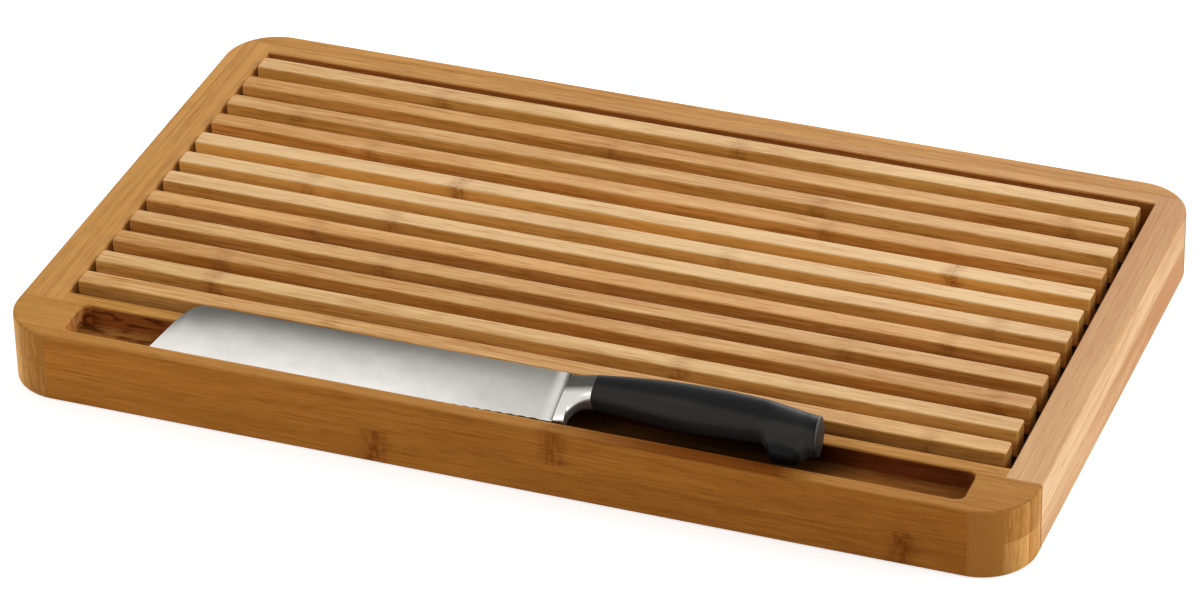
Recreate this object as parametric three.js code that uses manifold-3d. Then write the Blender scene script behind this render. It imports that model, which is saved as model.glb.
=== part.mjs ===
// Bread board: a shallow bamboo tray with a lift-out slatted grid over a crumb
// well, and a bread knife lying in a recess along the tray's front.
// Millimetres. X runs left to right, Y from front to back, Z up. The origin is
// on the resting surface, under the middle of the tray.

import * as THREE from 'three';
import { mergeVertices } from 'three/addons/utils/BufferGeometryUtils.js';
import Module from 'manifold-3d';

const wasm = await Module();
wasm.setup();

// Tray, outside
const trayWidth = 450;
const trayDepth = 266.6;
const trayHeight = 31.8;
const trayCornerRadius = 24;
const trayEdgeRound = 1.2;
const mouthChamfer = 0.5;

// Tray walls, seen from above
const leftRailWidth = 18.4;
const rightRailWidth = 15.3;
const backRailWidth = 10.1;
const backLinerWidth = 6.8;
const lipWidth = 7.3;
const recessWidth = 20.7;
const recessDepth = 9;
const recessCornerRadius = 4;
const recessLeftMargin = 28.3;
const recessRightMargin = 27;
const dividerTopWidth = 7.1;

// Crumb floor, held in grooves round the well
const floorThickness = 6;
const floorLift = 2.5;
const grooveDepth = 4;
const grooveEndClearance = 0.4;
const grooveTopClearance = 0.2;

// Dowels through the front corner joints
const dowelDiameter = 6;
const dowelLengthInFrontRail = 12;
const dowelLengthInSideRail = 18;
const dowelHoleClearance = 0.3;
const dowelMargin = 6;

// Slatted grid
const slatCount = 12;
const slatWidth = 9.4;
const slatHeight = 13;
const slatProud = 2.7;
const slatCornerRadius = 1.4;
const slatEdgeRound = 0.7;
const gridLeftGap = 1.9;
const gridRightGap = 3.7;
const gridFrontGap = 5;
const gridBackGap = 8.4;
const battenCount = 3;
const battenWidth = 16;
const battenEndInset = 65.4;
const battenLap = 4;
const battenInset = 1.5;
const battenEdgeRound = 0.8;

// Knife: lengths run back from the blade's heel, heights up from its cutting edge
const bladeLength = 183.3;
const bladeHeelHeight = 24.8;
const bladeTipHeight = 27.5;
const bladeTipRun = 18.3;
const bladeTipShoulderRun = 9.3;
const bladeTipLean = 6.8;
const bladeTipLeanHeight = 15;
const bladeSpineThickness = 2.2;
const bladeEdgeThickness = 0.5;
const scallopPitch = 5;
const scallopDepth = 0.4;
const scallopStart = 6;
const tangHeight = 8;
const tangCentreHeight = 17.3;
const tangSlotClearance = 0.3;
const pieceClearance = 0.3;
const bolsterLength = 13.5;
const bolsterFrontThickness = 4.4;
const bolsterFrontHeight = 24.5;
const bolsterFootLength = 5;
const gripLength = 94;
const gripFrontThickness = 12;
const gripThickness = 15;
const gripEndThickness = 14;
const gripFrontTop = 25.6;
const gripCrownTop = 28.2;
const gripShoulderTop = 25.3;
const gripEndTop = 23.4;
const gripFrontBottom = 11.4;
const gripWaistBottom = 8.4;
const gripHollowBottom = 9.4;
const hookBottom = 0.4;
const hookHeelBottom = 3.6;
const buttCapThickness = 2.6;
const buttCapFaceShare = 0.9;
const knifeTilt = THREE.MathUtils.degToRad(20);
const knifePitch = THREE.MathUtils.degToRad(1.54);
const knifePlaceShare = 0.36;
const knifeSeatClearance = 0.3;

// Overrun of every cutting body past the faces that it cuts
const overrun = 5;

// Segments of round shapes
const trayCornerSteps = 32;
const smallCornerSteps = 4;
const edgeRoundSteps = 3;
const dowelSides = 24;
const sectionPoints = 24;
const gripStations = 30;
const bolsterStations = 10;
const scallopSteps = 3;
const tipSteps = 10;

// Places that the sizes above give
const xLeft = -trayWidth / 2;
const xRight = trayWidth / 2;
const yFront = -trayDepth / 2;
const yBack = trayDepth / 2;
const xWellLeft = xLeft + leftRailWidth;
const xWellRight = xRight - rightRailWidth;
const yBackJoint = yBack - backRailWidth;
const yRecessFront = yFront + lipWidth;
const yRecessBack = yRecessFront + recessWidth;
const yFrontJoint = yRecessBack;
const yWellFront = yRecessBack + dividerTopWidth;
const yWellBack = yBackJoint - backLinerWidth;
const xRecessLeft = xLeft + recessLeftMargin;
const xRecessRight = xRight - recessRightMargin;
const zRecessFloor = trayHeight - recessDepth;
const zFloorTop = floorLift + floorThickness;
const zSlatTop = trayHeight + slatProud;
const zSlatBottom = zSlatTop - slatHeight;
const zBattenTop = zSlatBottom + battenLap;
const xGridLeft = xWellLeft + gridLeftGap;
const xGridRight = xWellRight - gridRightGap;
const yGridFront = yWellFront + gridFrontGap;
const yGridBack = yWellBack - gridBackGap;
const slatLength = xGridRight - xGridLeft;
const slatPitch = (yGridBack - yGridFront - slatWidth) / (slatCount - 1);

// Colours and finishes
const bambooRail = { color: 0xb8803f, roughness: 0.5, metalness: 0 };
const bambooSlat = { color: 0xd8ac72, roughness: 0.55, metalness: 0 };
const bambooFloor = { color: 0x9a6430, roughness: 0.6, metalness: 0 };
const beech = { color: 0xc9a070, roughness: 0.7, metalness: 0 };
const satinSteel = { color: 0xbfbdb9, roughness: 0.34, metalness: 1 };
const polishedSteel = { color: 0xc8c6c2, roughness: 0.18, metalness: 1 };
const blackPolymer = { color: 0x242423, roughness: 0.45, metalness: 0 };

// A closed mesh as a solid that can be cut and joined
function toSolid(geometry) {
  const bare = geometry.clone();
  bare.deleteAttribute('normal');
  bare.deleteAttribute('uv');
  const merged = mergeVertices(bare, 1e-4);
  return new wasm.Manifold(new wasm.Mesh({
    numProp: 3,
    vertProperties: new Float32Array(merged.attributes.position.array),
    triVerts: new Uint32Array(merged.index.array),
  }));
}

// A solid back to a mesh geometry
function toGeometry(solid) {
  const mesh = solid.getMesh();
  const geometry = new THREE.BufferGeometry();
  geometry.setAttribute('position', new THREE.BufferAttribute(new Float32Array(mesh.vertProperties), 3));
  geometry.setIndex(new THREE.BufferAttribute(new Uint32Array(mesh.triVerts), 1));
  geometry.computeVertexNormals();
  return geometry;
}

// A box between two corners, as a solid
function boxSolid(low, high) {
  const geometry = new THREE.BoxGeometry(high[0] - low[0], high[1] - low[1], high[2] - low[2]);
  geometry.translate((low[0] + high[0]) / 2, (low[1] + high[1]) / 2, (low[2] + high[2]) / 2);
  return toSolid(geometry);
}

// The corner points of a rounded rectangle, anticlockwise from above
function roundedRectangle(x0, y0, x1, y1, radius, steps) {
  const points = [];
  const corners = [[x1, y1, 0], [x0, y1, 1], [x0, y0, 2], [x1, y0, 3]];
  for (const [x, y, quarter] of corners) {
    const cx = x - Math.sign(x - (x0 + x1) / 2) * radius;
    const cy = y - Math.sign(y - (y0 + y1) / 2) * radius;
    for (let i = 0; i <= steps; i += 1) {
      const angle = (quarter + i / steps) * Math.PI / 2;
      points.push(new THREE.Vector2(cx + radius * Math.cos(angle), cy + radius * Math.sin(angle)));
    }
  }
  return points;
}

// A block with rounded upright corners and rounded top and bottom edges
function roundedBlock(x0, y0, z0, x1, y1, z1, cornerRadius, edgeRound, cornerSteps) {
  const outline = roundedRectangle(x0 + edgeRound, y0 + edgeRound, x1 - edgeRound, y1 - edgeRound,
    cornerRadius - edgeRound, cornerSteps);
  const geometry = new THREE.ExtrudeGeometry(new THREE.Shape(outline), {
    depth: z1 - z0 - 2 * edgeRound,
    bevelEnabled: true,
    bevelThickness: edgeRound,
    bevelSize: edgeRound,
    bevelSegments: edgeRoundSteps,
    steps: 1,
  });
  geometry.translate(0, 0, z0 + edgeRound);
  return geometry;
}

// A closed skin over rings that have the same number of points, with flat ends
function loft(rings) {
  const count = rings[0].length;
  const positions = rings.flat().flatMap((point) => [point.x, point.y, point.z]);
  const index = [];
  for (let ring = 0; ring < rings.length - 1; ring += 1) {
    for (let i = 0; i < count; i += 1) {
      const a = ring * count + i;
      const b = ring * count + (i + 1) % count;
      index.push(a, b, b + count, a, b + count, a + count);
    }
  }
  const last = (rings.length - 1) * count;
  for (let i = 1; i < count - 1; i += 1) {
    index.push(0, i + 1, i, last, last + i, last + i + 1);
  }
  const geometry = new THREE.BufferGeometry();
  geometry.setAttribute('position', new THREE.Float32BufferAttribute(positions, 3));
  geometry.setIndex(index);
  return geometry;
}

// A cutter whose mouth at the tray's top is chamfered: a straight pocket that
// widens over the last stretch below the top
function pocketCutter(x0, y0, x1, y1, z0, radius) {
  const levels = [
    [z0, 0],
    [trayHeight - mouthChamfer, 0],
    [trayHeight, mouthChamfer],
    [trayHeight + overrun, mouthChamfer],
  ];
  const rings = levels.map(([z, grow]) => roundedRectangle(x0 - grow, y0 - grow, x1 + grow, y1 + grow,
    radius + grow, smallCornerSteps).map((point) => new THREE.Vector3(point.x, point.y, z)));
  return toSolid(loft(rings));
}

const trayBlank = toSolid(roundedBlock(xLeft, yFront, 0, xRight, yBack, trayHeight,
  trayCornerRadius, trayEdgeRound, trayCornerSteps));
const knifeRecess = pocketCutter(xRecessLeft, yRecessFront, xRecessRight, yRecessBack, zRecessFloor,
  recessCornerRadius);
const crumbWell = pocketCutter(xWellLeft, yWellFront, xWellRight, yWellBack, -overrun, mouthChamfer / 2);
const floorGroove = boxSolid(
  [xWellLeft - grooveDepth, yWellFront - grooveDepth, floorLift],
  [xWellRight + grooveDepth, yWellBack + grooveDepth, zFloorTop + grooveTopClearance],
);

// The dowels' centres: one low and one high in each front corner joint
function dowelPlaces() {
  const places = [];
  for (const [side, x] of [['left', xLeft + leftRailWidth / 2], ['right', xRight - rightRailWidth / 2]]) {
    for (const [level, z] of [['lower', dowelMargin], ['upper', trayHeight - dowelMargin]]) {
      places.push({ name: `dowel_${side}_${level}`, x, z });
    }
  }
  return places;
}

// A round rod across the front corner joint, with its ends moved out by a clearance
function dowelGeometry(place, radius, clearance) {
  const y0 = yFrontJoint - dowelLengthInFrontRail - clearance;
  const y1 = yFrontJoint + dowelLengthInSideRail + clearance;
  const geometry = new THREE.CylinderGeometry(radius, radius, y1 - y0, dowelSides);
  geometry.translate(place.x, (y0 + y1) / 2, place.z);
  return geometry;
}

// One piece of the tray: the blank inside a box, less the pockets, grooves and holes
function trayPiece(x0, y0, x1, y1) {
  let solid = trayBlank.intersect(boxSolid([x0, y0, -overrun], [x1, y1, trayHeight + overrun]));
  solid = solid.subtract(knifeRecess).subtract(crumbWell).subtract(floorGroove);
  for (const place of dowelPlaces()) {
    const hole = dowelGeometry(place, dowelDiameter / 2 + dowelHoleClearance, dowelHoleClearance);
    solid = solid.subtract(toSolid(hole));
  }
  return toGeometry(solid);
}

function floorPanelGeometry() {
  const reach = grooveDepth - grooveEndClearance;
  const geometry = new THREE.BoxGeometry(xWellRight - xWellLeft + 2 * reach,
    yWellBack - yWellFront + 2 * reach, floorThickness);
  geometry.translate((xWellLeft + xWellRight) / 2, (yWellFront + yWellBack) / 2, floorLift + floorThickness / 2);
  return geometry;
}

// The battens' centres along X, spread evenly between the insets from the slats' ends
function battenCentres() {
  const first = xGridLeft + battenEndInset;
  const spacing = (slatLength - 2 * battenEndInset) / (battenCount - 1);
  return Array.from({ length: battenCount }, (_, i) => first + i * spacing);
}

// A slat with its front face on Y zero, notched underneath for the battens
function slatGeometry() {
  let solid = toSolid(roundedBlock(xGridLeft, 0, zSlatBottom, xGridRight, slatWidth, zSlatTop,
    slatCornerRadius, slatEdgeRound, smallCornerSteps));
  for (const x of battenCentres()) {
    const notch = boxSolid([x - battenWidth / 2, -overrun, zSlatBottom - overrun],
      [x + battenWidth / 2, slatWidth + overrun, zBattenTop]);
    solid = solid.subtract(notch);
  }
  return toGeometry(solid);
}

function battenGeometry(x) {
  return roundedBlock(x - battenWidth / 2, yGridFront + battenInset, zFloorTop,
    x + battenWidth / 2, yGridBack - battenInset, zBattenTop, battenEdgeRound * 2, battenEdgeRound,
    smallCornerSteps);
}

// Half the blade's thickness at a height above the cutting edge: an even wedge
function bladeHalfThickness(height) {
  const share = height / bladeTipHeight;
  return THREE.MathUtils.lerp(bladeEdgeThickness, bladeSpineThickness, share) / 2;
}

// Blade and tang in one piece. The outline runs along the scalloped cutting
// edge to the tip, round it, back along the spine and out along the tang.
function bladeGeometry() {
  const points = [new THREE.Vector2(0, 0)];
  const scallopCount = Math.floor((bladeLength - 2 * scallopStart) / scallopPitch);
  for (let i = 0; i < scallopCount; i += 1) {
    for (let k = 0; k < scallopSteps; k += 1) {
      const share = k / scallopSteps;
      const x = -scallopStart - (i + share) * scallopPitch;
      points.push(new THREE.Vector2(x, scallopDepth * Math.sin(Math.PI * share)));
    }
  }
  points.push(new THREE.Vector2(-scallopStart - scallopCount * scallopPitch, 0));
  const tip = new THREE.CubicBezierCurve(
    new THREE.Vector2(-bladeLength, 0),
    new THREE.Vector2(-bladeLength + bladeTipLean, bladeTipLeanHeight),
    new THREE.Vector2(-bladeLength + bladeTipShoulderRun, bladeTipHeight),
    new THREE.Vector2(-bladeLength + bladeTipRun, bladeTipHeight),
  );
  points.push(...tip.getPoints(tipSteps));
  const tangEnd = bolsterLength + gripLength - pieceClearance;
  const tangTop = tangCentreHeight + tangHeight / 2;
  const tangBottom = tangCentreHeight - tangHeight / 2;
  points.push(
    new THREE.Vector2(0, bladeHeelHeight),
    new THREE.Vector2(0, tangTop),
    new THREE.Vector2(tangEnd, tangTop),
    new THREE.Vector2(tangEnd, tangBottom),
    new THREE.Vector2(0, tangBottom),
  );
  const geometry = new THREE.ExtrudeGeometry(new THREE.Shape(points), { depth: 1, bevelEnabled: false, steps: 1 });
  const position = geometry.attributes.position;
  for (let i = 0; i < position.count; i += 1) {
    const side = position.getZ(i) > 0 ? 1 : -1;
    position.setZ(i, side * bladeHalfThickness(position.getY(i)));
  }
  return geometry;
}

// A section across the knife at x: a rounded oblong between two heights
function knifeSection(x, bottom, top, thickness) {
  const cornering = 2 / 3.2;
  const points = [];
  for (let i = 0; i < sectionPoints; i += 1) {
    const angle = (i / sectionPoints) * Math.PI * 2;
    const across = Math.sign(Math.sin(angle)) * Math.abs(Math.sin(angle)) ** cornering;
    const up = Math.sign(Math.cos(angle)) * Math.abs(Math.cos(angle)) ** cornering;
    points.push(new THREE.Vector3(x, (top + bottom) / 2 + up * (top - bottom) / 2, across * thickness / 2));
  }
  return points;
}

// A smooth line through places given as shares of a length and their values
function smoothLine(places, length) {
  const points = places.map(([share, value]) => new THREE.Vector2(share * length, value));
  return (x) => {
    let i = 0;
    while (i < points.length - 2 && x > points[i + 1].x) {
      i += 1;
    }
    const t = THREE.MathUtils.clamp((x - points[i].x) / (points[i + 1].x - points[i].x), 0, 1);
    return THREE.MathUtils.lerp(points[i].y, points[i + 1].y, t * t * (3 - 2 * t));
  };
}

// The grip's outline from the bolster to the butt, as shares of its length
const gripTopShares = [[0, gripFrontTop], [0.37, gripCrownTop], [0.9, gripShoulderTop], [1, gripEndTop]];
const gripBottomShares = [
  [0, gripFrontBottom],
  [0.43, gripWaistBottom],
  [0.765, gripHollowBottom],
  [0.85, hookBottom],
  [0.93, hookBottom],
  [1, hookHeelBottom],
];
const gripThicknessShares = [[0, gripFrontThickness], [0.5, gripThickness], [0.8, gripThickness], [1, gripEndThickness]];
const gripTop = smoothLine(gripTopShares, gripLength);
const gripBottom = smoothLine(gripBottomShares, gripLength);
const gripBreadth = smoothLine(gripThicknessShares, gripLength);

// The slot through bolster and grip that the tang lies in
function tangSlot() {
  const half = tangHeight / 2 + tangSlotClearance;
  const thick = bladeHalfThickness(tangCentreHeight + half) + tangSlotClearance;
  return boxSolid([-overrun, tangCentreHeight - half, -thick],
    [bolsterLength + gripLength + overrun, tangCentreHeight + half, thick]);
}

// Full bolster: it swells from the blade to the grip, over a foot that runs
// down to the cutting edge and sweeps up in a hollow quarter round
function bolsterGeometry() {
  const rings = [];
  const length = bolsterLength - pieceClearance;
  for (let i = 0; i <= bolsterStations; i += 1) {
    const share = i / bolsterStations;
    const x = pieceClearance + share * (length - pieceClearance);
    const swept = THREE.MathUtils.clamp((length - x) / (length - bolsterFootLength), 0, 1);
    const bottom = gripFrontBottom * Math.sqrt(1 - swept * swept);
    const top = THREE.MathUtils.lerp(bolsterFrontHeight, gripFrontTop, share);
    rings.push(knifeSection(x, bottom, top, THREE.MathUtils.lerp(bolsterFrontThickness, gripFrontThickness, share)));
  }
  return toGeometry(toSolid(loft(rings)).subtract(tangSlot()));
}

function gripGeometry() {
  const rings = [];
  for (let i = 0; i <= gripStations; i += 1) {
    const x = (i / gripStations) * gripLength;
    rings.push(knifeSection(bolsterLength + x, gripBottom(x), gripTop(x), gripBreadth(x)));
  }
  return toGeometry(toSolid(loft(rings)).subtract(tangSlot()));
}

function buttCapGeometry() {
  const start = bolsterLength + gripLength + pieceClearance;
  const middle = (gripEndTop + hookHeelBottom) / 2;
  const half = (gripEndTop - hookHeelBottom) / 2;
  const levels = [[0, 1], [buttCapThickness / 2, 1], [buttCapThickness, buttCapFaceShare]];
  return loft(levels.map(([x, size]) => knifeSection(start + x, middle - half * size, middle + half * size,
    gripEndThickness * size)));
}

// A named mesh with its own material
function piece(name, geometry, finish) {
  const mesh = new THREE.Mesh(geometry, new THREE.MeshStandardMaterial(finish));
  mesh.name = name;
  return mesh;
}

function makeTray() {
  const tray = new THREE.Group();
  tray.add(
    piece('front_rail', trayPiece(xLeft, yFront, xRight, yFrontJoint), bambooRail),
    piece('back_rail', trayPiece(xLeft, yBackJoint, xRight, yBack), bambooRail),
    piece('left_rail', trayPiece(xLeft, yFrontJoint, xWellLeft, yBackJoint), bambooRail),
    piece('right_rail', trayPiece(xWellRight, yFrontJoint, xRight, yBackJoint), bambooRail),
    piece('recess_divider', trayPiece(xWellLeft, yFrontJoint, xWellRight, yWellFront), bambooRail),
    piece('back_liner', trayPiece(xWellLeft, yWellBack, xWellRight, yBackJoint), bambooRail),
    piece('crumb_floor', floorPanelGeometry(), bambooFloor),
  );
  for (const place of dowelPlaces()) {
    tray.add(piece(place.name, dowelGeometry(place, dowelDiameter / 2, 0), beech));
  }
  return tray;
}

// The slats are numbered from the front
function makeGrid() {
  const grid = new THREE.Group();
  for (let i = 0; i < slatCount; i += 1) {
    const slat = piece(`slat_${String(i + 1).padStart(2, '0')}`, slatGeometry(), bambooSlat);
    slat.position.y = yGridFront + i * slatPitch;
    grid.add(slat);
  }
  battenCentres().forEach((x, i) => {
    grid.add(piece(`batten_${i + 1}`, battenGeometry(x), bambooSlat));
  });
  return grid;
}

// The knife lies over the divider's front edge, its cutting edge down behind
// the lip. It is pitched so that the grip's fullest part rests there.
function makeKnife() {
  const body = new THREE.Group();
  body.add(
    piece('knife_blade', bladeGeometry(), satinSteel),
    piece('knife_bolster', bolsterGeometry(), polishedSteel),
    piece('knife_grip', gripGeometry(), blackPolymer),
    piece('knife_butt_cap', buttCapGeometry(), satinSteel),
  );
  const seatRun = bolsterLength + gripLength / 2;
  const rise = gripThickness / 2 + knifeSeatClearance - seatRun * Math.sin(knifePitch);
  const wallReach = recessWidth / Math.cos(knifeTilt);
  const wallLean = (rise + bolsterFrontThickness / 2) * Math.tan(knifeTilt);
  body.position.set(0, wallLean - wallReach + knifeSeatClearance, rise);
  body.rotation.y = -knifePitch;
  const knifeLength = bladeLength + bolsterLength + gripLength + pieceClearance + buttCapThickness;
  const room = xRecessRight - xRecessLeft - knifeLength;
  const knife = new THREE.Group();
  knife.position.set(xRecessLeft + room * knifePlaceShare + bladeLength, yRecessBack, trayHeight);
  knife.rotation.x = knifeTilt;
  knife.add(body);
  return knife;
}

const breadBoard = new THREE.Group();
breadBoard.add(makeTray(), makeGrid(), makeKnife());

export default breadBoard;
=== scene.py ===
"""Looks of a bamboo bread board: a tray with a crumb well, a slatted grid that
lifts out, and a bread knife in a recess. The rails, grid and floor keep their
CAD shapes and get laminated bamboo; the knife's pieces are worked out here."""

import math

import bpy
import numpy as np
from bpy.props import FloatProperty, FloatVectorProperty, PointerProperty
from mathutils import Matrix


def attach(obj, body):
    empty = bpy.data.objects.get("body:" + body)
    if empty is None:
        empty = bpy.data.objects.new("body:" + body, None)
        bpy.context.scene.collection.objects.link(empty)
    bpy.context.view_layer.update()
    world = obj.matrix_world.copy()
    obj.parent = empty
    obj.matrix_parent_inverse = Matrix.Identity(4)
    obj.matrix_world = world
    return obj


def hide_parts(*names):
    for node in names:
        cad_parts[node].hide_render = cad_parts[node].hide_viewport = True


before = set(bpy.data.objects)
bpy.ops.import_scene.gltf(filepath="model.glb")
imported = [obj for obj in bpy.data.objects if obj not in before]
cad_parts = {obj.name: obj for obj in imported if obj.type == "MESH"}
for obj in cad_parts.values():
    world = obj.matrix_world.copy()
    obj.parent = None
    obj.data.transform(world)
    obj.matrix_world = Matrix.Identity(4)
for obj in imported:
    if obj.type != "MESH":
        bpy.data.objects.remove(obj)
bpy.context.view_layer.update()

bl_info = {
    "name": "Bamboo bread board",
    "version": (1, 0, 0),
    "blender": (4, 5, 0),
    "location": "View3D > Sidebar > Bread board",
    "description": "Laminated bamboo tray and grid with a bread knife in its recess",
    "category": "Add Mesh",
}

MM = 0.001

# The tray, in metres, as the CAD has it
TRAY_HALF_LENGTH = 225 * MM
TRAY_HALF_DEPTH = 133.3 * MM
TRAY_TOP = 31.8 * MM
RECESS_LEFT = -196.7 * MM
RECESS_LENGTH = 394.7 * MM
RECESS_BACK = -105.3 * MM
RECESS_WIDTH = 20.7 * MM
RECESS_FRONT = RECESS_BACK - RECESS_WIDTH
RECESS_FLOOR = 22.8 * MM
GRID_FRONT = -93.2 * MM
SLAT_WIDTH = 9.4 * MM
SLAT_PITCH = 17.436 * MM

# The bamboo's lamination, in metres. Strips start just outside the tray, and layers just under the
# ground, so that no face lies on a joint. One layer is taller than any piece, one strip wider, and
# no piece reaches as far as NO_KNOT
LAYER_HEIGHT = 15.95 * MM
LAYER_NUDGE = 0.02 * MM
STRIP_MARGIN = 0.05 * MM
SIDE_STRIP_START = TRAY_HALF_LENGTH + STRIP_MARGIN
FRONT_STRIP_START = TRAY_HALF_DEPTH + STRIP_MARGIN
ONE_LAYER = 1.0
ONE_STRIP = {"strip_width": 0.1, "strip_start": -0.35, "layer_height": ONE_LAYER}
NO_KNOT = 9.0
MARKS_AND_SHADE_REACH = 199 * MM

# How far the count of strips moves on from layer to layer, and the longest way in metres by which a
# strip's grain is moved along it
LAYER_STEP = 17.0
GRAIN_SHIFT = 7.0

# Specular level of matt wood and polymer
MATT_GLOSS = 0.12

# The knife, in metres: runs go back from the blade's heel, heights up from its cutting edge, and
# thickness is counted from the middle. The skin is how far its rounded pieces stay inside their CAD
# solids
BLADE_LENGTH = 183.3 * MM
BLADE_TIP_HEIGHT = 27.5 * MM
BLADE_HEEL_HEIGHT = 24.8 * MM
TIP_CURVE = np.array([(0, 0), (6.8, 15), (9.3, 27.5), (18.3, 27.5)]) * MM
TIP_ROWS = 60
EDGE_ROWS = 560
FOOT_ROWS = 8
SWEEP_ROWS = 40
GRIP_ROWS = 240
CAP_ROWS = 12
SPINE_THICKNESS = 2.2 * MM
EDGE_THICKNESS = 0.5 * MM
HEEL_FLARE = 0.9 * MM
HEEL_FLARE_RUN = 5 * MM
SCALLOP_PITCH = 5 * MM
SCALLOP_DEPTH = 0.4 * MM
SCALLOP_START = 6 * MM
TANG_BOTTOM = 13.3 * MM
TANG_TOP = 21.3 * MM
TANG_SLOT = 0.3 * MM
TANG_END_SETBACK = 3 * MM
JOINT_GAP = 0.3 * MM
BOLSTER_LENGTH = 13.5 * MM
BOLSTER_FRONT_THICKNESS = 4.4 * MM
BOLSTER_FRONT_HEIGHT = 24.5 * MM
BOLSTER_FOOT = 5 * MM
CAD_GRIP_THICKNESS = 15 * MM
GRIP_LENGTH = 94 * MM
GRIP_ARC_HEIGHT = 27.8 * MM
GRIP_ARC_FALL = 14 * MM
CAP_THICKNESS = 2.6 * MM
CAP_COVERED = 1.7 * MM
CAP_FACE_SIZE = 0.9
BUTT_MIDDLE_HEIGHT = 18 * MM
SKIN = 0.01 * MM

# The blade's section, edge to spine: shares of its height, and how much of the wedge's thickness is
# kept there. Edge and spine are a little rounded
BLADE_SHARES = np.concatenate(((0, 0.02, 0.05), np.linspace(0.1, 0.94, 12), (0.975, 1)))
BLADE_KEPT = np.array((0.35, 0.75) + (1,) * 14 + (0.82,))

# The grip, as (share of its length, millimetres), and other shares, slopes and powers
GRIP_BOTTOM = ((0, 11.4), (0.43, 8.4), (0.775, 9.4), (0.862, 0.6), (0.94, 0.6), (1, 6.4))
GRIP_BREADTH = ((0, 12), (0.45, 14.5), (0.8, 14.5), (1, 14))
GRIP_ARC_PLACE_SHARE = 0.46
BUTT_SLOPE = 0.12
BUTT_SLOPE_START_SHARE = 0.75
SECTION_POWER = 3.2
BUTT_SECTION_POWER = 2.4
RING_POINTS = 64
RING_ANGLES = np.arange(RING_POINTS) / RING_POINTS * 2 * np.pi

# How the knife lies in the recess
KNIFE_TILT = math.radians(20)
KNIFE_PITCH = math.radians(1.54)
KNIFE_PLACE_SHARE = 0.36
SEAT_CLEARANCE = 0.3 * MM

# The camera that sees the board as the photograph does
CAMERA_PLACE = (0.712824, -1.856286, 1.270286)
CAMERA_YAW = math.radians(-21.09067)
CAMERA_PITCH = math.radians(32.35018)
CAMERA_ROLL = math.radians(-1.33356)
CAMERA_LENS = 164.683

# The stage: metres, and strengths where 1 is white
FLOOR_REACH = 6.0
FLOOR_DROP = 0.2 * MM
FLOOR_TONE = 0.9
FLOOR_GLOW = 0.62


def linear(red, green, blue):
    """A display colour, 0 to 255, as a linear colour with full alpha."""
    share = np.array((red, green, blue), float) / 255
    low = share / 12.92
    high = ((share + 0.055) / 1.055) ** 2.4
    return tuple(float(v) for v in np.where(share <= 0.04045, low, high)) + (1.0,)


# ---- node helpers


def new_group(name, inputs, outputs):
    """A shader node group with (name, type, default) inputs and (name, type) outputs."""
    group = bpy.data.node_groups.new(name, "ShaderNodeTree")
    for label, kind, default in inputs:
        socket = group.interface.new_socket(label, in_out="INPUT", socket_type="NodeSocket" + kind)
        socket.default_value = default
    for label, kind in outputs:
        group.interface.new_socket(label, in_out="OUTPUT", socket_type="NodeSocket" + kind)
    return group


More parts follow.
